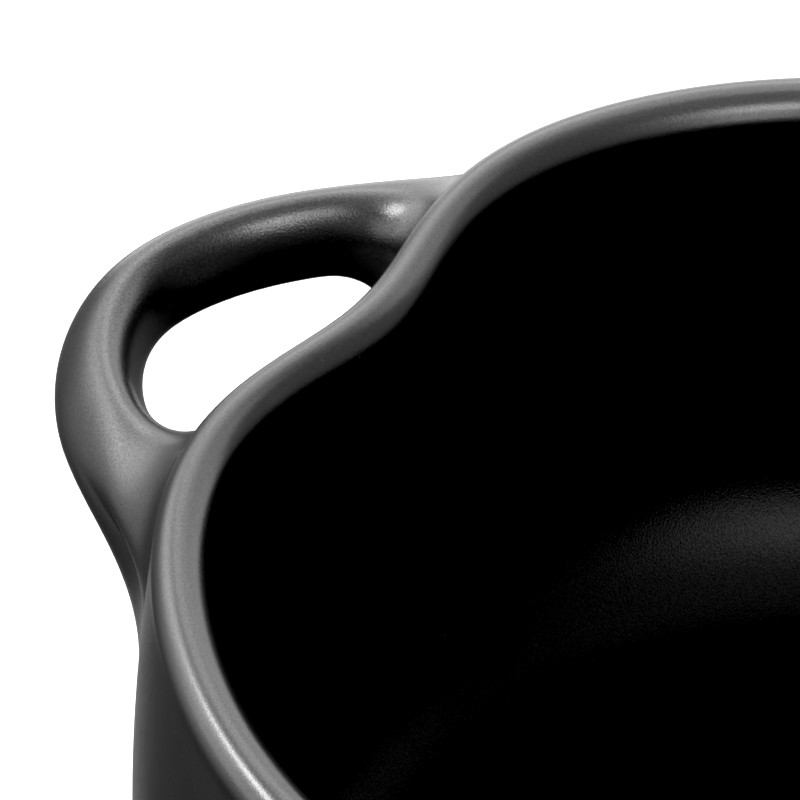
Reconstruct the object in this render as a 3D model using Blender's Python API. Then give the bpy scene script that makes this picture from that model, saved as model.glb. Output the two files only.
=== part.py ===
"""Sugar bowl: an open ceramic vessel whose rolled rim is pinched in above two finger loops.

Frame: origin at the middle of the foot, +Z up, the two handles along X.
Three pieces: the vessel, and two handles that are formed on their own and luted to its wall.
"""

import math

import bmesh
import bpy
from mathutils import Vector

MM = 0.001

# Vessel
HEIGHT = 57.0 * MM
RIM_RADIUS = 50.0 * MM  # to the outside of the rolled rim
ROLL_OUT = 2.05 * MM  # from the rim's crest to its outside
ROLL_IN = 2.4 * MM  # from the rim's crest to its inside
ROLL_DROP = 2.6 * MM  # how far down the rounding reaches
ROLL_HEIGHT = HEIGHT - ROLL_DROP
WALL_THICKNESS = 3.6 * MM
BELLY_RADIUS = 53.0 * MM
BELLY_HEIGHT = 22.0 * MM
SHOULDER_POWER = 1.8  # how late the wall turns in above the belly
FLOOR_HEIGHT = 6.5 * MM
FLOOR_RADIUS = 34.0 * MM  # flat part of the inside floor

# Foot ring
FOOT_RADIUS = 36.0 * MM
FOOT_HEIGHT = 2.6 * MM
FOOT_WIDTH = 3.2 * MM
FOOT_EDGE = 0.6 * MM  # chamfer on both edges of the resting face
RECESS_HEIGHT = 1.8 * MM
RECESS_SLOPE = 1.0 * MM

# Pinch of the wall at each handle
PINCH_DEPTH = 6.5 * MM
PINCH_HALF_ANGLE = math.radians(17.4)  # where the pinch is down to 1/e
PINCH_DROP = 36.0 * MM  # height below the rim in which the pinch dies away
PINCH_FULL = 4.0 * MM  # height below the rim that keeps the full pinch

# Handle strap; U points out from the vessel's axis, V runs along the rim
ROOT_U = 44.25 * MM
ROOT_V = 16.95 * MM
ROOT_DROP = 8.79 * MM  # strap centre below the rim at the root
ROOT_SPLAY = math.radians(22.6)  # the strap leaves the wall turned away from the other root
ROOT_PULL = 8.90 * MM
APEX_U = 65.41 * MM
APEX_DROP = 12.53 * MM  # strap centre below the rim at the apex
APEX_PULL = 9.30 * MM
STRAP_HALF_WIDTH = 3.31 * MM
STRAP_HALF_HEIGHT = 4.19 * MM
STRAP_LEAN = 0.15  # the top of the section leans in by this share of its height
STRAP_TAPER = 0.25  # how much narrower the section is at the top, and wider at the bottom
STRAP_START = 0.51  # where the flared root ends, 1 at the wall and 0 at the apex

# Footprint of each handle root on the wall
ROOT_ANGLE = math.radians(20.5)
FOOTPRINT_IN = 8.4 * MM
FOOTPRINT_OUT = 12.3 * MM
FOOTPRINT_UP = 8.0 * MM
FOOTPRINT_DOWN = 17.4 * MM
FOOTPRINT_TOP_DROP = 3.0 * MM  # the footprint's top below the rim's top
FOOTPRINT_INSET = 0.95  # scale of the ring that shows which way the wall runs
LUTING_GAP = 0.3 * MM  # the slip joint between a handle and the wall
EDGE_LIFT = 0.3  # how steeply the root rises off the wall, 0 is tangent
TOP_LIFT = 0.74  # the same for the very top of the root
FLARE_AT_WALL = 1.33
FLARE_AT_STRAP = 1.51

# Mesh density
SIDES = 72
SHOULDER_STEPS = 8
BOTTOM_STEPS = 7
ROLL_STEPS = 6
STRAP_SIDES = 20
STRAP_STEPS = 12
FLARE_STEPS = 6
CAP_RINGS = 2
TRAVEL_STEP = 0.001  # for the direction of the strap
SHARP_ANGLE = math.radians(35)

GLAZE_COLOUR = (0.012, 0.012, 0.012, 1.0)
GLAZE_ROUGHNESS = 0.42


def ease(share):
    """Smooth step from 0 to 1 with flat ends."""
    share = min(max(share, 0.0), 1.0)
    return share**3 * (share * (6 * share - 15) + 10)


def bottom_turn(share):
    """Quarter of an ellipse, from 1 at the belly, share 0, to 0 at the bottom, share 1."""
    return math.sqrt(max(1 - share**2, 0.0))


def outer_radius(height):
    """Radius of the outer wall where it isn't pinched."""
    if height >= BELLY_HEIGHT:
        share = (height - BELLY_HEIGHT) / (ROLL_HEIGHT - BELLY_HEIGHT)
        return BELLY_RADIUS - (BELLY_RADIUS - RIM_RADIUS) * min(share, 1.0) ** SHOULDER_POWER
    share = (BELLY_HEIGHT - height) / (BELLY_HEIGHT - FOOT_HEIGHT)
    return FOOT_RADIUS + (BELLY_RADIUS - FOOT_RADIUS) * bottom_turn(min(share, 1.0))


def inner_radius(height):
    """Radius of the inner wall where it isn't pinched; the wall thickens into the roll."""
    if height >= BELLY_HEIGHT:
        share = (height - BELLY_HEIGHT) / (ROLL_HEIGHT - BELLY_HEIGHT)
        thickening = (ROLL_OUT + ROLL_IN - WALL_THICKNESS) * ease(share)
        return outer_radius(height) - WALL_THICKNESS - thickening
    share = (BELLY_HEIGHT - height) / (BELLY_HEIGHT - FLOOR_HEIGHT)
    widest = BELLY_RADIUS - WALL_THICKNESS
    return FLOOR_RADIUS + (widest - FLOOR_RADIUS) * bottom_turn(share)


def pinch(angle, height):
    """How far the wall is pushed in towards the vessel's axis."""
    from_handle = abs(math.asin(max(-1.0, min(1.0, math.sin(angle)))))
    fade = ease((height - (HEIGHT - PINCH_DROP)) / (PINCH_DROP - PINCH_FULL))
    return PINCH_DEPTH * math.exp(-((from_handle / PINCH_HALF_ANGLE) ** 2)) * fade


def pinched_point(radius, height, angle):
    """A point of the turned profile, moved in by the pinch."""
    radius -= pinch(angle, height)
    return Vector((radius * math.cos(angle), radius * math.sin(angle), height))


def vessel_profile():
    """Section from the underside's centre, up the outside, over the rim and down to the floor's centre."""
    foot_inside = FOOT_RADIUS - FOOT_WIDTH
    section = [
        (foot_inside - RECESS_SLOPE, RECESS_HEIGHT),
        (foot_inside, FOOT_EDGE),
        (foot_inside + FOOT_EDGE, 0.0),
        (FOOT_RADIUS - FOOT_EDGE, 0.0),
        (FOOT_RADIUS, FOOT_EDGE),
    ]
    for step in range(BOTTOM_STEPS, 0, -1):
        depth = math.sin(math.pi / 2 * step / BOTTOM_STEPS)
        height = BELLY_HEIGHT - (BELLY_HEIGHT - FOOT_HEIGHT) * depth
        section.append((outer_radius(height), height))
    for step in range(SHOULDER_STEPS + 1):
        height = BELLY_HEIGHT + (ROLL_HEIGHT - BELLY_HEIGHT) * step / SHOULDER_STEPS
        section.append((outer_radius(height), height))
    for step in range(1, ROLL_STEPS):
        turn = math.pi * step / ROLL_STEPS
        reach = ROLL_OUT if step < ROLL_STEPS / 2 else ROLL_IN
        radius = RIM_RADIUS - ROLL_OUT + reach * math.cos(turn)
        section.append((radius, ROLL_HEIGHT + ROLL_DROP * math.sin(turn)))
    for step in range(SHOULDER_STEPS, 0, -1):
        height = BELLY_HEIGHT + (ROLL_HEIGHT - BELLY_HEIGHT) * step / SHOULDER_STEPS
        section.append((inner_radius(height), height))
    for step in range(BOTTOM_STEPS + 1):
        depth = math.sin(math.pi / 2 * step / BOTTOM_STEPS)
        height = BELLY_HEIGHT - (BELLY_HEIGHT - FLOOR_HEIGHT) * depth
        section.append((inner_radius(height), height))
    return section


def strap_centre(along):
    """Strap centre line in the handle's frame; along runs from 1 at one root to -1 at the other."""
    share = 1 - abs(along)
    root = Vector((ROOT_U, ROOT_V))
    root_guide = root + ROOT_PULL * Vector((math.cos(ROOT_SPLAY), math.sin(ROOT_SPLAY)))
    apex = Vector((APEX_U, 0.0))
    apex_guide = Vector((APEX_U, APEX_PULL))
    rest = 1 - share
    plan = rest**3 * root + 3 * rest**2 * share * root_guide
    plan += 3 * rest * share**2 * apex_guide + share**3 * apex
    drop = ROOT_DROP + (APEX_DROP - ROOT_DROP) * (1 - rest**2)
    return Vector((plan.x, math.copysign(plan.y, along), HEIGHT - drop))


def strap_direction(along):
    """Direction of travel of the strap, from the +V root to the -V root."""
    return (strap_centre(along - TRAVEL_STEP) - strap_centre(along + TRAVEL_STEP)).normalized()


def section_angles():
    return [2 * math.pi * side / STRAP_SIDES for side in range(STRAP_SIDES)]


def strap_ring(along):
    """One section of the strap: egg-shaped, narrow at the top, and leaning in towards the vessel."""
    centre = strap_centre(along)
    out = Vector((0, 0, 1)).cross(strap_direction(along)).normalized()
    ring = []
    for angle in section_angles():
        rise = STRAP_HALF_HEIGHT * math.sin(angle)
        width = STRAP_HALF_WIDTH * (1 - STRAP_TAPER * math.sin(angle))
        across = width * math.cos(angle) - STRAP_LEAN * rise
        ring.append(centre + across * out + Vector((0, 0, rise)))
    return ring


def footprint_ring(scale):
    """Outline of the root on the wall of the +V root, shrunk about the root's middle by scale."""
    middle_height = HEIGHT - FOOTPRINT_TOP_DROP - FOOTPRINT_UP
    ring = []
    for angle in section_angles():
        side = math.cos(angle) * (FOOTPRINT_OUT if math.cos(angle) > 0 else FOOTPRINT_IN)
        rise = math.sin(angle) * (FOOTPRINT_UP if math.sin(angle) > 0 else FOOTPRINT_DOWN)
        height = middle_height + scale * rise
        polar = ROOT_ANGLE + scale * side / RIM_RADIUS
        ring.append(pinched_point(outer_radius(height) + LUTING_GAP, height, polar))
    return ring


def flare_rings():
    """Rings from the wall to the start of the strap, leaving the wall nearly along its surface."""
    edge = footprint_ring(1.0)
    inset = footprint_ring(FOOTPRINT_INSET)
    strap = strap_ring(STRAP_START)
    direction = strap_direction(STRAP_START)
    rings = []
    for step in range(FLARE_STEPS):
        share = step / FLARE_STEPS
        from_edge = 2 * share**3 - 3 * share**2 + 1
        edge_pull = share**3 - 2 * share**2 + share
        strap_pull = share**3 - share**2
        ring = []
        for start, inner, end, angle in zip(edge, inset, strap, section_angles()):
            reach = (end - start).length
            off_wall = Vector((start.x, start.y, 0)).normalized()
            lift = max(EDGE_LIFT, TOP_LIFT * math.sin(angle))
            leave = (inner - start).normalized() + lift * off_wall
            point = from_edge * start + (1 - from_edge) * end
            point += edge_pull * FLARE_AT_WALL * reach * leave.normalized()
            point += strap_pull * FLARE_AT_STRAP * reach * direction
            ring.append(point)
        rings.append(ring)
    return rings


def handle_rings():
    """All rings of a handle, root to root, and the rings that close its two faces on the wall."""
    flare = flare_rings()
    strap = []
    for step in range(STRAP_STEPS + 1):
        along = STRAP_START * (1 - 2 * step / STRAP_STEPS)
        strap.append(strap_ring(along))
    cap = [footprint_ring((ring + 1) / (CAP_RINGS + 1)) for ring in range(CAP_RINGS)]
    near_half = cap + flare
    far_half = [[Vector((p.x, -p.y, p.z)) for p in ring] for ring in reversed(near_half)]
    return near_half + strap + far_half


def closed_loft(name, rings, start_pole, end_pole):
    """A closed body through the rings, each end drawn in to one point."""
    mesh = bpy.data.meshes.new(name)
    shape = bmesh.new()
    loops = [[shape.verts.new(point) for point in ring] for ring in rings]
    first = shape.verts.new(start_pole)
    last = shape.verts.new(end_pole)
    count = len(rings[0])
    for side in range(count):
        after = (side + 1) % count
        shape.faces.new((first, loops[0][after], loops[0][side]))
        shape.faces.new((last, loops[-1][side], loops[-1][after]))
        for lower, upper in zip(loops, loops[1:]):
            shape.faces.new((lower[side], lower[after], upper[after], upper[side]))
    bmesh.ops.recalc_face_normals(shape, faces=shape.faces)
    shape.to_mesh(mesh)
    shape.free()
    mesh.shade_smooth()
    mesh.set_sharp_from_angle(angle=SHARP_ANGLE)
    body = bpy.data.objects.new(name, mesh)
    bpy.context.scene.collection.objects.link(body)
    return body


def glaze_material(name):
    """Satin black glaze over stoneware."""
    material = bpy.data.materials.new(name)
    material.use_nodes = True
    shader = material.node_tree.nodes["Principled BSDF"]
    shader.inputs["Base Color"].default_value = GLAZE_COLOUR
    shader.inputs["Roughness"].default_value = GLAZE_ROUGHNESS
    shader.inputs["Metallic"].default_value = 0.0
    return material


def make_vessel():
    rings = []
    for radius, height in vessel_profile():
        turn = 2 * math.pi / SIDES
        rings.append([pinched_point(radius, height, turn * side) for side in range(SIDES)])
    underside = Vector((0, 0, RECESS_HEIGHT))
    floor = Vector((0, 0, FLOOR_HEIGHT))
    return closed_loft("bowl_body", rings, underside, floor)


def make_handle(name, turned):
    """One handle at +X, or at -X when it is turned half round the vessel's axis."""
    middle_height = HEIGHT - FOOTPRINT_TOP_DROP - FOOTPRINT_UP
    face_middle = pinched_point(outer_radius(middle_height) + LUTING_GAP, middle_height, ROOT_ANGLE)
    far_middle = Vector((face_middle.x, -face_middle.y, face_middle.z))
    handle = closed_loft(name, handle_rings(), face_middle, far_middle)
    handle.rotation_euler.z = math.pi if turned else 0.0
    return handle


def main():
    for old in list(bpy.data.objects):
        bpy.data.objects.remove(old, do_unlink=True)
    vessel = make_vessel()
    vessel.data.materials.append(glaze_material("vessel_glaze"))
    for name, turned in (("handle_right", False), ("handle_left", True)):
        handle = make_handle(name, turned)
        handle.data.materials.append(glaze_material(name + "_glaze"))
        handle.parent = vessel


main()
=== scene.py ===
"""Looks of the sugar bowl: a satin black glazed vessel and its two finger loops, in soft studio light."""

import math

import bmesh
import bpy
from mathutils import Matrix, Vector


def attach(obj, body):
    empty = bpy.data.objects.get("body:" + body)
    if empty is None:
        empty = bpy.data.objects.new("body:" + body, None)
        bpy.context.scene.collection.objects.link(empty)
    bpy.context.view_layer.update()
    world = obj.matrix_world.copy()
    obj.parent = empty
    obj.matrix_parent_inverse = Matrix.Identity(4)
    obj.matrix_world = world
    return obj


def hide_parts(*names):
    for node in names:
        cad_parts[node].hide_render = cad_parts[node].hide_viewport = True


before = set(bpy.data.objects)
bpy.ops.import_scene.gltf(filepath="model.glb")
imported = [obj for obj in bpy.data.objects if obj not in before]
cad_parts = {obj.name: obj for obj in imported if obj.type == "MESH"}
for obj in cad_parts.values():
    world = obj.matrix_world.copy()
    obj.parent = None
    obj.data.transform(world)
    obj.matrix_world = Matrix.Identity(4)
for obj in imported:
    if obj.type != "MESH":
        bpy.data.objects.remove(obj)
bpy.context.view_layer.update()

MM = 0.001

# Vessel, as the CAD model has it
HEIGHT = 57.0 * MM
RIM_RADIUS = 50.0 * MM
ROLL_OUT = 2.05 * MM
ROLL_IN = 2.4 * MM
ROLL_DROP = 2.6 * MM
ROLL_HEIGHT = HEIGHT - ROLL_DROP
WALL_THICKNESS = 3.6 * MM
BELLY_RADIUS = 53.0 * MM
BELLY_HEIGHT = 22.0 * MM
SHOULDER_POWER = 1.8
FLOOR_HEIGHT = 6.5 * MM
FLOOR_RADIUS = 34.0 * MM
FOOT_RADIUS = 36.0 * MM
FOOT_HEIGHT = 2.6 * MM
FOOT_WIDTH = 3.2 * MM
FOOT_EDGE = 0.6 * MM
RECESS_HEIGHT = 1.8 * MM
RECESS_SLOPE = 1.0 * MM
PINCH_DEPTH = 6.5 * MM
PINCH_HALF_ANGLE = math.radians(17.4)
PINCH_DROP = 36.0 * MM
PINCH_FULL = 4.0 * MM

# Handles, as the CAD model has them, apart from the three values with a comment
ROOT_U = 44.25 * MM
ROOT_V = 16.95 * MM
ROOT_DROP = 8.79 * MM
ROOT_SPLAY = math.radians(22.6)
ROOT_PULL = 8.90 * MM
APEX_U = 65.40 * MM  # 0.01 mm less than in the CAD model, to stay inside its coarser outline
APEX_DROP = 12.53 * MM
APEX_PULL = 9.30 * MM
STRAP_HALF_WIDTH = 3.31 * MM
STRAP_HALF_HEIGHT = 4.19 * MM
STRAP_LEAN = 0.15
STRAP_TAPER = 0.25
STRAP_START = 0.51
ROOT_ANGLE = math.radians(20.5)
FOOTPRINT_IN = 8.4 * MM
FOOTPRINT_OUT = 12.3 * MM
FOOTPRINT_UP = 8.0 * MM
FOOTPRINT_DOWN = 17.4 * MM
FOOTPRINT_TOP_DROP = 3.0 * MM
SEAM_SINK = 0.01 * MM  # how far the edge of each root lies inside the wall
EDGE_LIFT = 0.04  # how steeply the root rises off the wall, 0 is tangent
TOP_LIFT = 0.74
FLARE_AT_WALL = 1.33
FLARE_AT_STRAP = 1.51

# How the handles' meshes are worked out
FOOTPRINT_INSET = 0.98  # scale of the ring that shows which way the wall runs
CAP_DEPTH = 1.0 * MM  # how far the cap behind each root lies inside the wall
TRAVEL_STEP = 0.001  # for the direction of the strap
NORMAL_STEP = 0.01  # for the direction of the wall, in radians around it and millimetres up it

# Mesh density and shading
SIDES = 360
SHOULDER_STEPS = 40
BOTTOM_STEPS = 24
ROLL_STEPS = 24
STRAP_SIDES = 96
STRAP_STEPS = 64
FLARE_STEPS = 30
CAP_RINGS = 6
BLEND_STEPS = 5  # rings at each root whose shading turns into the wall's
SHARP_ANGLE = math.radians(40)  # a steeper edge isn't shaded smooth

# Camera, placed about a point near the middle of the rim
CAMERA_AZIMUTH = math.radians(34.5)
CAMERA_ELEVATION = math.radians(45.0)
CAMERA_DISTANCE = 0.599
CAMERA_AIM_HEIGHT = 54.95 * MM
FOCAL_SHARE = 10.145  # focal length over the frame's width
PAN_LEFT = math.radians(3.01)
TILT_UP = math.radians(0.97)
SENSOR_WIDTH = 36.0  # millimetres

# Studio
FLOOR_COLOUR = (0.57, 0.57, 0.57, 1.0)
STAGE_RADIUS = 4.0
STAGE_SIDES = 96
STAGE_ROUGHNESS = 0.9
# Brightness of the room at each sine of the elevation, from straight down to overhead
SURROUNDINGS = (
    (-1.0, 0.0),
    (-0.8, 0.06),
    (-0.65, 0.1),
    (-0.25, 0.3),
    (-0.02, 0.6),
    (0.15, 0.7),
    (0.3, 0.9),
)
# Soft bright areas of the room: azimuth, elevation and reach in degrees, brightness in the middle.
# The last one stands for the floor, which the glaze doesn't mirror.
GLOWS = ((-49, 30, 37, 5.6), (-76, -2, 38, 1.2), (-8, -45, 20, 0.6))
BACKDROP = (0.9, 0.9, 0.9, 1.0)  # what the camera sees beyond the floor
BLACK_LEVEL = 0.008
SOFTBOX_DISTANCE = 2.0
# Name, azimuth and elevation in degrees, width and height in metres, brightness
SOFTBOXES = (
    ("key_softbox", -75, 42, 1.0, 0.4, 29.0),
    ("back_low_softbox", -2, 10, 1.7, 3.0, 1.8),
    ("back_high_softbox", -5, 47, 0.8, 2.4, 3.3),
    ("back_right_softbox", 42, 30, 1.6, 2.1, 2.5),
    ("left_softbox", -97, 15, 2.2, 1.4, 2.4),
    ("front_softbox", 180, 44, 1.15, 0.75, 7.5),
    ("low_front_softbox", 169, 21, 0.65, 1.7, 4.6),
    ("overhead_softbox", -85, 88, 3.0, 1.65, 1.0),
)

# Glaze
GLAZE_IOR = 1.5
GLAZE_COLOUR = (0.0018, 0.0018, 0.0018, 1.0)
EDGE_COLOUR = (0.006, 0.006, 0.006, 1.0)
SPECK_COLOUR = (0.012, 0.012, 0.012, 1.0)
ROUGHNESS_RANGE = (0.25, 0.29)
MOTTLE_BAND = (0.3, 0.7)  # part of the mottling that spans the roughness range
GRAIN_SIZE = 0.17 * MM
GRAIN_DETAIL = 2.0
GRAIN_HEIGHT = 0.024 * MM
GRAIN_GLOSS = 0.9  # change of specular level over the grain
PLAIN_GLOSS = 0.5
GRAIN_ON_RIM = 0.45  # the rim is smoother by this factor
GRAIN_BAND = (46.0 * MM, 54.0 * MM)  # heights between which the grain fades
PAINTED_SHADE_GLOSS = 0.16  # painted shade: the inside of the bowl reflects less by this factor
INSIDE_ROUGHNESS = 0.06  # and is rougher by this much
INSIDE_BAND = (HEIGHT - 1.5 * ROLL_DROP, HEIGHT - 4 * ROLL_DROP)  # heights over which it gets duller, as painted shade
TURN_BAND = (0.2, 0.05)  # how far the surface faces away from the axis, where outside turns to inside and the painted shade fades out
RIPPLE_SIZE = 1.6 * MM
RIPPLE_DETAIL = 1.0
RIPPLE_HEIGHT = 0.004 * MM
MOTTLE_SIZE = 6.0 * MM
MOTTLE_DETAIL = 3.0
EDGE_BAND = (0.52, 0.60)  # pointiness over which the glaze thins
PATCH_BAND = (0.35, 0.65)  # part of the mottling that makes the thinning uneven
PATCH_WEAR = (0.4, 1.0)
SPECK_SPACING = 0.35 * MM
SPECK_DETAIL = 0.0
SPECK_BAND = (0.86, 0.88)
GLAZE_LINE = 0.5 * MM  # below it the foot ring is bare clay
GLAZE_FADE = 0.15 * MM  # height over which the glaze ends
CLAY_DARK = (0.16, 0.15, 0.14, 1.0)
CLAY_LIGHT = (0.26, 0.25, 0.235, 1.0)
CLAY_ROUGHNESS = 0.85


def ease(share):
    """Smooth step from 0 to 1 with flat ends."""
    share = min(max(share, 0.0), 1.0)
    return share**3 * (share * (6 * share - 15) + 10)


def bottom_turn(share):
    """Quarter of an ellipse, from 1 at the belly, share 0, to 0 at the bottom, share 1."""
    return math.sqrt(max(1 - share**2, 0.0))


def outer_radius(height):
    """Radius of the vessel's outside before the pinch."""
    if height >= BELLY_HEIGHT:
        share = (height - BELLY_HEIGHT) / (ROLL_HEIGHT - BELLY_HEIGHT)
        return BELLY_RADIUS - (BELLY_RADIUS - RIM_RADIUS) * min(share, 1.0) ** SHOULDER_POWER
    share = (BELLY_HEIGHT - height) / (BELLY_HEIGHT - FOOT_HEIGHT)
    return FOOT_RADIUS + (BELLY_RADIUS - FOOT_RADIUS) * bottom_turn(min(share, 1.0))


def inner_radius(height):
    """Radius of the vessel's inside, with the wall thicker towards the rim."""
    if height >= BELLY_HEIGHT:
        share = (height - BELLY_HEIGHT) / (ROLL_HEIGHT - BELLY_HEIGHT)
        thickening = (ROLL_OUT + ROLL_IN - WALL_THICKNESS) * ease(share)
        return outer_radius(height) - WALL_THICKNESS - thickening
    share = (BELLY_HEIGHT - height) / (BELLY_HEIGHT - FLOOR_HEIGHT)
    widest = BELLY_RADIUS - WALL_THICKNESS
    return FLOOR_RADIUS + (widest - FLOOR_RADIUS) * bottom_turn(share)


def pinch(angle, height):
    """How far the wall is pressed in beside the nearer handle."""
    from_handle = abs(math.asin(max(-1.0, min(1.0, math.sin(angle)))))
    fade = ease((height - (HEIGHT - PINCH_DROP)) / (PINCH_DROP - PINCH_FULL))
    return PINCH_DEPTH * math.exp(-((from_handle / PINCH_HALF_ANGLE) ** 2)) * fade


def pinched_point(radius, height, angle):
    """Point of the vessel at the given angle, pinch included."""
    radius -= pinch(angle, height)
    return Vector((radius * math.cos(angle), radius * math.sin(angle), height))


def vessel_profile():
    """Closed section from the underside, up the outside, over the rim and down to the inside floor."""
    foot_inside = FOOT_RADIUS - FOOT_WIDTH
    section = [
        (foot_inside - RECESS_SLOPE, RECESS_HEIGHT),
        (foot_inside, FOOT_EDGE),
        (foot_inside + FOOT_EDGE, 0.0),
        (FOOT_RADIUS - FOOT_EDGE, 0.0),
        (FOOT_RADIUS, FOOT_EDGE),
    ]
    for step in range(BOTTOM_STEPS, 0, -1):
        depth = math.sin(math.pi / 2 * step / BOTTOM_STEPS)
        height = BELLY_HEIGHT - (BELLY_HEIGHT - FOOT_HEIGHT) * depth
        section.append((outer_radius(height), height))
    for step in range(SHOULDER_STEPS + 1):
        height = BELLY_HEIGHT + (ROLL_HEIGHT - BELLY_HEIGHT) * step / SHOULDER_STEPS
        section.append((outer_radius(height), height))
    for step in range(1, ROLL_STEPS):
        turn = math.pi * step / ROLL_STEPS
        reach = ROLL_OUT if step < ROLL_STEPS / 2 else ROLL_IN
        radius = RIM_RADIUS - ROLL_OUT + reach * math.cos(turn)
        section.append((radius, ROLL_HEIGHT + ROLL_DROP * math.sin(turn)))
    for step in range(SHOULDER_STEPS, 0, -1):
        height = BELLY_HEIGHT + (ROLL_HEIGHT - BELLY_HEIGHT) * step / SHOULDER_STEPS
        section.append((inner_radius(height), height))
    for step in range(BOTTOM_STEPS + 1):
        depth = math.sin(math.pi / 2 * step / BOTTOM_STEPS)
        height = BELLY_HEIGHT - (BELLY_HEIGHT - FLOOR_HEIGHT) * depth
        section.append((inner_radius(height), height))
    return section


def strap_centre(along):
    """Centre of the strap; along runs from 1 at one root over 0 at the apex to -1 at the other root."""
    share = 1 - abs(along)
    root = Vector((ROOT_U, ROOT_V))
    root_guide = root + ROOT_PULL * Vector((math.cos(ROOT_SPLAY), math.sin(ROOT_SPLAY)))
    apex = Vector((APEX_U, 0.0))
    apex_guide = Vector((APEX_U, APEX_PULL))
    rest = 1 - share
    plan = rest**3 * root + 3 * rest**2 * share * root_guide
    plan += 3 * rest * share**2 * apex_guide + share**3 * apex
    drop = ROOT_DROP + (APEX_DROP - ROOT_DROP) * (1 - rest**2)
    return Vector((plan.x, math.copysign(plan.y, along), HEIGHT - drop))


def strap_direction(along):
    """The way the strap runs, from the first root to the second."""
    return (strap_centre(along - TRAVEL_STEP) - strap_centre(along + TRAVEL_STEP)).normalized()


def section_angles():
    """Angles of the points around a section of the strap."""
    return [2 * math.pi * side / STRAP_SIDES for side in range(STRAP_SIDES)]


def strap_ring(along):
    """Section of the strap: an upright oval that leans in and narrows towards its top."""
    centre = strap_centre(along)
    out = Vector((0, 0, 1)).cross(strap_direction(along)).normalized()
    ring = []
    for angle in section_angles():
        rise = STRAP_HALF_HEIGHT * math.sin(angle)
        width = STRAP_HALF_WIDTH * (1 - STRAP_TAPER * math.sin(angle))
        across = width * math.cos(angle) - STRAP_LEAN * rise
        ring.append(centre + across * out + Vector((0, 0, rise)))
    return ring


def footprint_ring(scale, sink):
    """Outline of a root on the wall, scaled about its middle and sunk into the wall."""
    middle_height = HEIGHT - FOOTPRINT_TOP_DROP - FOOTPRINT_UP
    ring = []
    for angle in section_angles():
        side = math.cos(angle) * (FOOTPRINT_OUT if math.cos(angle) > 0 else FOOTPRINT_IN)
        rise = math.sin(angle) * (FOOTPRINT_UP if math.sin(angle) > 0 else FOOTPRINT_DOWN)
        height = middle_height + scale * rise
        polar = ROOT_ANGLE + scale * side / RIM_RADIUS
        ring.append(pinched_point(outer_radius(height) - sink, height, polar))
    return ring


def flare_rings():
    """Rings of one root, which leave the wall along it and turn smoothly into the strap."""
    edge = footprint_ring(1.0, SEAM_SINK)
    inset = footprint_ring(FOOTPRINT_INSET, SEAM_SINK)
    strap = strap_ring(STRAP_START)
    direction = strap_direction(STRAP_START)
    rings = []
    for step in range(FLARE_STEPS):
        share = step / FLARE_STEPS
        from_edge = 2 * share**3 - 3 * share**2 + 1
        edge_pull = share**3 - 2 * share**2 + share
        strap_pull = share**3 - share**2
        ring = []
        for start, inner, end, angle in zip(edge, inset, strap, section_angles()):
            reach = (end - start).length
            off_wall = Vector((start.x, start.y, 0)).normalized()
            lift = EDGE_LIFT + TOP_LIFT * max(math.sin(angle), 0)
            leave = (inner - start).normalized() + lift * off_wall
            leave.normalize()
            point = from_edge * start + (1 - from_edge) * end
            point += edge_pull * FLARE_AT_WALL * reach * leave
            point += strap_pull * FLARE_AT_STRAP * reach * direction
            ring.append(point)
        rings.append(ring)
    return rings


def handle_rings():
    """All rings of a handle, from the cap behind one root to the cap behind the other."""
    flare = flare_rings()
    strap = []
    for step in range(STRAP_STEPS + 1):
        along = STRAP_START * (1 - 2 * step / STRAP_STEPS)
        strap.append(strap_ring(along))
    cap = [footprint_ring((ring + 1) / (CAP_RINGS + 1), CAP_DEPTH) for ring in range(CAP_RINGS)]
    near_half = cap + flare
    far_half = [[Vector((p.x, -p.y, p.z)) for p in ring] for ring in reversed(near_half)]
    return near_half + strap + far_half


def wall_normal(point):
    """Direction out of the vessel's wall beside a point."""
    angle = math.atan2(point.y, point.x)
    along = pinched_point(outer_radius(point.z), point.z, angle + NORMAL_STEP)
    along -= pinched_point(outer_radius(point.z), point.z, angle - NORMAL_STEP)
    above = point.z + NORMAL_STEP * MM
    below = point.z - NORMAL_STEP * MM
    up = pinched_point(outer_radius(above), above, angle)
    up -= pinched_point(outer_radius(below), below, angle)
    return along.cross(up).normalized()


def blend_into_wall(handle, ring_count):
    """Shade the edge of each root with the wall's own direction, so that the luting leaves no seam."""
    mesh = handle.data
    normals = [Vector(normal.vector) for normal in mesh.vertex_normals]
    for step in range(BLEND_STEPS):
        share = (1 - step / BLEND_STEPS) ** 2
        for ring in (CAP_RINGS + step, ring_count - 1 - CAP_RINGS - step):
            for index in range(ring * STRAP_SIDES, (ring + 1) * STRAP_SIDES):
                wall = wall_normal(mesh.vertices[index].co)
                normals[index] = normals[index].lerp(wall, share).normalized()
    mesh.normals_split_custom_set_from_vertices(normals)


def closed_loft(name, rings, start_pole, end_pole):
    """Closed body through the rings, with a fan of triangles to a point at each end."""
    mesh = bpy.data.meshes.new(name)
    shape = bmesh.new()
    loops = [[shape.verts.new(point) for point in ring] for ring in rings]
    first = shape.verts.new(start_pole)
    last = shape.verts.new(end_pole)
    count = len(rings[0])
    for side in range(count):
        after = (side + 1) % count
        shape.faces.new((first, loops[0][after], loops[0][side]))
        shape.faces.new((last, loops[-1][side], loops[-1][after]))
        for lower, upper in zip(loops, loops[1:]):
            shape.faces.new((lower[side], lower[after], upper[after], upper[side]))
    bmesh.ops.recalc_face_normals(shape, faces=shape.faces)
    shape.to_mesh(mesh)
    shape.free()
    mesh.shade_smooth()
    mesh.set_sharp_from_angle(angle=SHARP_ANGLE)
    body = bpy.data.objects.new(name, mesh)
    bpy.context.scene.collection.objects.link(body)
    return body


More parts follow.
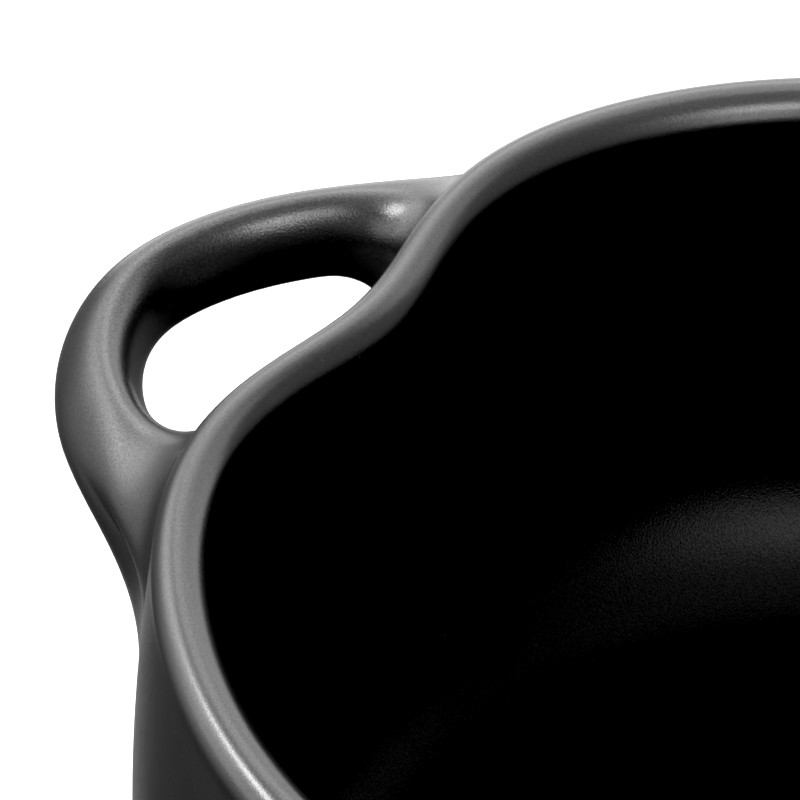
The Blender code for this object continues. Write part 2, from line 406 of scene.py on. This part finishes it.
def noise(tree, place, size, detail):
    """Noise of about the given feature size, from 0 to 1."""
    node = tree.nodes.new("ShaderNodeTexNoise")
    node.inputs["Scale"].default_value = 1 / size
    node.inputs["Detail"].default_value = detail
    tree.links.new(place, node.inputs["Vector"])
    return node.outputs["Fac"]


def ranged(tree, value, source, target):
    """The value mapped from one range to another, and held inside it."""
    node = tree.nodes.new("ShaderNodeMapRange")
    tree.links.new(value, node.inputs["Value"])
    for name, number in zip(("From Min", "From Max", "To Min", "To Max"), source + target):
        node.inputs[name].default_value = number
    return node.outputs["Result"]


def arithmetic(tree, operation, first, second):
    """Result of one Math node on two values; the second may be a plain number."""
    node = tree.nodes.new("ShaderNodeMath")
    node.operation = operation
    tree.links.new(first, node.inputs[0])
    if isinstance(second, float):
        node.inputs[1].default_value = second
    else:
        tree.links.new(second, node.inputs[1])
    return node.outputs[0]


def product(tree, first, second):
    """The first value times the second."""
    return arithmetic(tree, "MULTIPLY", first, second)


def total(tree, first, second):
    """The first value plus the second."""
    return arithmetic(tree, "ADD", first, second)


def mixed(tree, share, first, second):
    """Colour between two colours, each a constant or another node's output.

    The Mix node has its colours in inputs 6 and 7, and its colour result in output 2.
    """
    node = tree.nodes.new("ShaderNodeMix")
    node.data_type = "RGBA"
    tree.links.new(share, node.inputs["Factor"])
    for socket, colour in ((node.inputs[6], first), (node.inputs[7], second)):
        if isinstance(colour, tuple):
            socket.default_value = colour
        else:
            tree.links.new(colour, socket)
    return node.outputs[2]


def vector_math(tree, operation, first):
    """Vector Math node with its first input linked."""
    node = tree.nodes.new("ShaderNodeVectorMath")
    node.operation = operation
    tree.links.new(first, node.inputs[0])
    return node


def facing_in(tree, place):
    """1 where the surface faces the bowl's axis or straight up, 0 where it faces away from it."""
    flat = vector_math(tree, "MULTIPLY", place)
    flat.inputs[1].default_value = (1.0, 1.0, 0.0)
    outward = vector_math(tree, "NORMALIZE", flat.outputs["Vector"])
    away = vector_math(tree, "DOT_PRODUCT", outward.outputs["Vector"])
    tree.links.new(tree.nodes.new("ShaderNodeTexCoord").outputs["Normal"], away.inputs[1])
    return ranged(tree, away.outputs["Value"], TURN_BAND, (0.0, 1.0))


def below_rim(tree, height):
    """0 on the rolled rim, 1 a little below it."""
    return ranged(tree, height, INSIDE_BAND, (0.0, 1.0))


def glaze_material(name, painted_inside_shade):
    """Satin black glaze: powdery grain, faint mottling, thinner and paler where it drew off the edges."""
    material = bpy.data.materials.new(name)
    material.use_nodes = True
    tree = material.node_tree
    shader = tree.nodes["Principled BSDF"]
    shader.inputs["IOR"].default_value = GLAZE_IOR
    place = tree.nodes.new("ShaderNodeTexCoord").outputs["Object"]

    height = tree.nodes.new("ShaderNodeSeparateXYZ")
    tree.links.new(place, height.inputs[0])
    grain = noise(tree, place, GRAIN_SIZE, GRAIN_DETAIL)
    centred = total(tree, grain, -0.5)  # noise runs from 0 to 1
    powder = product(tree, centred, ranged(tree, height.outputs["Z"], GRAIN_BAND, (1.0, GRAIN_ON_RIM)))
    ripple = noise(tree, place, RIPPLE_SIZE, RIPPLE_DETAIL)
    mottle = noise(tree, place, MOTTLE_SIZE, MOTTLE_DETAIL)
    bump = tree.nodes.new("ShaderNodeBump")
    bump.inputs["Distance"].default_value = GRAIN_HEIGHT
    tree.links.new(powder, bump.inputs["Height"])
    wave = tree.nodes.new("ShaderNodeBump")
    wave.inputs["Distance"].default_value = RIPPLE_HEIGHT
    tree.links.new(ripple, wave.inputs["Height"])
    tree.links.new(bump.outputs["Normal"], wave.inputs["Normal"])

    edges = tree.nodes.new("ShaderNodeNewGeometry").outputs["Pointiness"]
    worn = ranged(tree, edges, EDGE_BAND, (0.0, 1.0))
    patchy = ranged(tree, mottle, PATCH_BAND, PATCH_WEAR)
    wear = product(tree, worn, patchy)
    colour = mixed(tree, wear, GLAZE_COLOUR, EDGE_COLOUR)
    speck = ranged(tree, noise(tree, place, SPECK_SPACING, SPECK_DETAIL), SPECK_BAND, (0.0, 1.0))
    colour = mixed(tree, speck, colour, SPECK_COLOUR)
    roughness = ranged(tree, mottle, MOTTLE_BAND, ROUGHNESS_RANGE)

    gloss = total(tree, product(tree, powder, GRAIN_GLOSS), PLAIN_GLOSS)
    # painted shade: below the rim the inside reflects less, and it is also rougher
    if painted_inside_shade:
        inside = product(tree, facing_in(tree, place), below_rim(tree, height.outputs["Z"]))
        gloss = product(tree, gloss, ranged(tree, inside, (0.0, 1.0), (1.0, PAINTED_SHADE_GLOSS)))
        roughness = total(tree, roughness, product(tree, inside, INSIDE_ROUGHNESS))
    tree.links.new(gloss, shader.inputs["Specular IOR Level"])
    bare = ranged(tree, height.outputs["Z"], (GLAZE_LINE + GLAZE_FADE, GLAZE_LINE), (0.0, 1.0))
    clay = mixed(tree, grain, CLAY_DARK, CLAY_LIGHT)
    tree.links.new(mixed(tree, bare, colour, clay), shader.inputs["Base Color"])
    dry = arithmetic(tree, "MAXIMUM", roughness, product(tree, bare, CLAY_ROUGHNESS))
    tree.links.new(dry, shader.inputs["Roughness"])
    tree.links.new(wave.outputs["Normal"], shader.inputs["Normal"])
    return material


def make_vessel():
    """The bowl itself, from the middle of its underside to the middle of its inside floor."""
    rings = []
    for radius, height in vessel_profile():
        turn = 2 * math.pi / SIDES
        rings.append([pinched_point(radius, height, turn * side) for side in range(SIDES)])
    underside = Vector((0, 0, RECESS_HEIGHT))
    floor = Vector((0, 0, FLOOR_HEIGHT))
    return closed_loft("glazed_bowl", rings, underside, floor)


def half_turn(point):
    """The point on the bowl's opposite side."""
    return Vector((-point.x, -point.y, point.z))


def make_handle(name, turned):
    """The finger loop at +X, or at -X where turned is true."""
    middle_height = HEIGHT - FOOTPRINT_TOP_DROP - FOOTPRINT_UP
    cap_middle = pinched_point(outer_radius(middle_height) - CAP_DEPTH, middle_height, ROOT_ANGLE)
    far_middle = Vector((cap_middle.x, -cap_middle.y, cap_middle.z))
    rings = handle_rings()
    if turned:
        rings = [[half_turn(point) for point in ring] for ring in rings]
        cap_middle = half_turn(cap_middle)
        far_middle = half_turn(far_middle)
    handle = closed_loft(name, rings, cap_middle, far_middle)
    blend_into_wall(handle, len(rings))
    return handle


def view_directions():
    """The camera's right, its level way ahead, and its line of sight to the point it is placed about."""
    right = Vector((math.cos(CAMERA_AZIMUTH), math.sin(CAMERA_AZIMUTH), 0))
    ahead = Vector((-math.sin(CAMERA_AZIMUTH), math.cos(CAMERA_AZIMUTH), 0))
    sight = math.cos(CAMERA_ELEVATION) * ahead - math.sin(CAMERA_ELEVATION) * Vector((0, 0, 1))
    return right, ahead, sight


def add_camera():
    """The camera looks past that point, turned to the left and up in its own frame."""
    data = bpy.data.cameras.new("camera")
    data.sensor_width = SENSOR_WIDTH
    data.lens = FOCAL_SHARE * data.sensor_width
    camera = bpy.data.objects.new("camera", data)
    bpy.context.scene.collection.objects.link(camera)
    right, _, sight = view_directions()
    level = Matrix((right, right.cross(sight), -sight)).transposed()
    turn = Matrix.Rotation(PAN_LEFT, 3, "Y") @ Matrix.Rotation(TILT_UP, 3, "X")
    camera.rotation_euler = (level @ turn).to_euler()
    camera.location = Vector((0, 0, CAMERA_AIM_HEIGHT)) - CAMERA_DISTANCE * sight
    bpy.context.scene.camera = camera


def direction_to(azimuth, elevation):
    """Unit vector; azimuth is counted in degrees from the way the camera looks, to the left negative."""
    turn = math.radians(azimuth)
    rise = math.radians(elevation)
    right, ahead, _ = view_directions()
    flat = math.cos(turn) * ahead + math.sin(turn) * right
    return math.cos(rise) * flat + math.sin(rise) * Vector((0, 0, 1))


def area_light(name, azimuth, elevation, width, height, radiance):
    """A softbox aimed at the rim."""
    data = bpy.data.lights.new(name, "AREA")
    data.shape = "RECTANGLE"
    data.size = width
    data.size_y = height
    data.energy = radiance * width * height * math.pi
    light = bpy.data.objects.new(name, data)
    light.visible_camera = False
    bpy.context.scene.collection.objects.link(light)
    toward = direction_to(azimuth, elevation)
    light.location = Vector((0, 0, HEIGHT)) + SOFTBOX_DISTANCE * toward
    light.rotation_euler = (-toward).to_track_quat("-Z", "Y").to_euler()


def add_floor():
    """Plain pale disc under the bowl, which the glaze doesn't mirror."""
    mesh = bpy.data.meshes.new("floor")
    shape = bmesh.new()
    bmesh.ops.create_circle(shape, cap_ends=True, segments=STAGE_SIDES, radius=STAGE_RADIUS)
    shape.to_mesh(mesh)
    shape.free()
    floor = bpy.data.objects.new("floor", mesh)
    floor.visible_glossy = False
    bpy.context.scene.collection.objects.link(floor)
    material = bpy.data.materials.new("pale_floor")
    material.use_nodes = True
    shader = material.node_tree.nodes["Principled BSDF"]
    shader.inputs["Base Color"].default_value = FLOOR_COLOUR
    shader.inputs["Roughness"].default_value = STAGE_ROUGHNESS
    mesh.materials.append(material)


def add_world():
    """Room light that fades from overhead to nothing straight down, with soft brighter areas."""
    world = bpy.data.worlds.new("world")
    world.use_nodes = True
    tree = world.node_tree
    direction = tree.nodes.new("ShaderNodeTexCoord").outputs["Generated"]
    split = tree.nodes.new("ShaderNodeSeparateXYZ")
    tree.links.new(direction, split.inputs[0])
    ramp = tree.nodes.new("ShaderNodeValToRGB")
    tree.links.new(ranged(tree, split.outputs["Z"], (-1.0, 1.0), (0.0, 1.0)), ramp.inputs["Fac"])
    stops = ramp.color_ramp.elements
    while len(stops) < len(SURROUNDINGS):
        stops.new(1.0)
    for stop, (rise, level) in zip(stops, SURROUNDINGS):
        stop.position = (rise + 1) / 2
        stop.color = (level, level, level, 1)
    level = ramp.outputs["Color"]
    for azimuth, elevation, reach, brightness in GLOWS:
        closeness = vector_math(tree, "DOT_PRODUCT", direction)
        closeness.inputs[1].default_value = direction_to(azimuth, elevation)
        edge = math.cos(math.radians(reach))
        share = ranged(tree, closeness.outputs["Value"], (edge, 1.0), (0.0, 1.0))
        level = total(tree, level, product(tree, product(tree, share, share), brightness))
    camera_ray = tree.nodes.new("ShaderNodeLightPath").outputs["Is Camera Ray"]
    seen = mixed(tree, camera_ray, level, BACKDROP)
    tree.links.new(seen, tree.nodes["Background"].inputs["Color"])
    bpy.context.scene.world = world


def set_contrast():
    """Plain view transform with the deepest shadows printed black."""
    view = bpy.context.scene.view_settings
    view.view_transform = "Standard"
    view.use_curve_mapping = True
    view.curve_mapping.black_level = (BLACK_LEVEL, BLACK_LEVEL, BLACK_LEVEL)
    view.curve_mapping.update()


bowl = make_vessel()
# the bowl's glaze carries painted shade on the inside of the bowl
bowl.data.materials.append(glaze_material("bowl_glaze", True))
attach(bowl, "root")
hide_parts("bowl_body")
handle_glaze = glaze_material("handle_glaze", False)
for side, turned in (("right", False), ("left", True)):
    handle = make_handle("glazed_handle_" + side, turned)
    handle.data.materials.append(handle_glaze)
    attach(handle, "root")
    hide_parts("handle_" + side)

add_floor()
add_camera()
for softbox in SOFTBOXES:
    area_light(*softbox)
add_world()
set_contrast()
